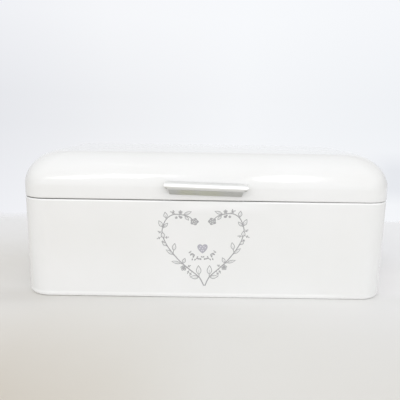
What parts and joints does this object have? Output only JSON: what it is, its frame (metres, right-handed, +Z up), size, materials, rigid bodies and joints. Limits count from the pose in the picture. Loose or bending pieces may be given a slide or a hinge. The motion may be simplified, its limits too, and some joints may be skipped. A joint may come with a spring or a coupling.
{
  "type": "bread box",
  "caption": "Rounded sheet-steel bread box with a domed lid hinged at the back, a ledge handle in front, low rubber feet and vents in the rear wall.",
  "frame": {"origin": "under the middle of the whole box, its handle and hinges counted in, on the surface it stands on", "axes": "+Z up, +X to the right as seen from the front, +Y from the handle towards the hinges"},
  "size_m": [0.425, 0.2538, 0.17],
  "materials": {
    "enamel": "gloss",
    "handle_metal": "satin",
    "plated_steel": "zinc plated",
    "foot_rubber": "matt"
  },
  "bodies": {
    "tub": {"body_wall": "enamel", "base_panel": "enamel", "hinge_left_body_leaf": "plated_steel", "hinge_left_pin": "plated_steel", "hinge_left_body_rivet_inner": "plated_steel", "hinge_left_body_rivet_outer": "plated_steel", "foot_front_left": "foot_rubber", "foot_back_left": "foot_rubber", "hinge_right_body_leaf": "plated_steel", "hinge_right_pin": "plated_steel", "hinge_right_body_rivet_inner": "plated_steel", "hinge_right_body_rivet_outer": "plated_steel", "foot_front_right": "foot_rubber", "foot_back_right": "foot_rubber"},
    "lid": {"lid_shell": "enamel", "handle": "handle_metal", "handle_washer_left": "plated_steel", "handle_screw_left": "plated_steel", "hinge_left_lid_leaf": "plated_steel", "hinge_left_lid_rivet_inner": "plated_steel", "hinge_left_lid_rivet_outer": "plated_steel", "handle_washer_right": "plated_steel", "handle_screw_right": "plated_steel", "hinge_right_lid_leaf": "plated_steel", "hinge_right_lid_rivet_inner": "plated_steel", "hinge_right_lid_rivet_outer": "plated_steel"}
  },
  "joints": [
    {"name": "lid_hinge", "type": "hinge", "parent": "tub", "child": "lid", "pos_m": [0, 0.12129, 0.1162], "axis": [-1, 0, 0], "range_deg": [0, 100]}
  ]
}
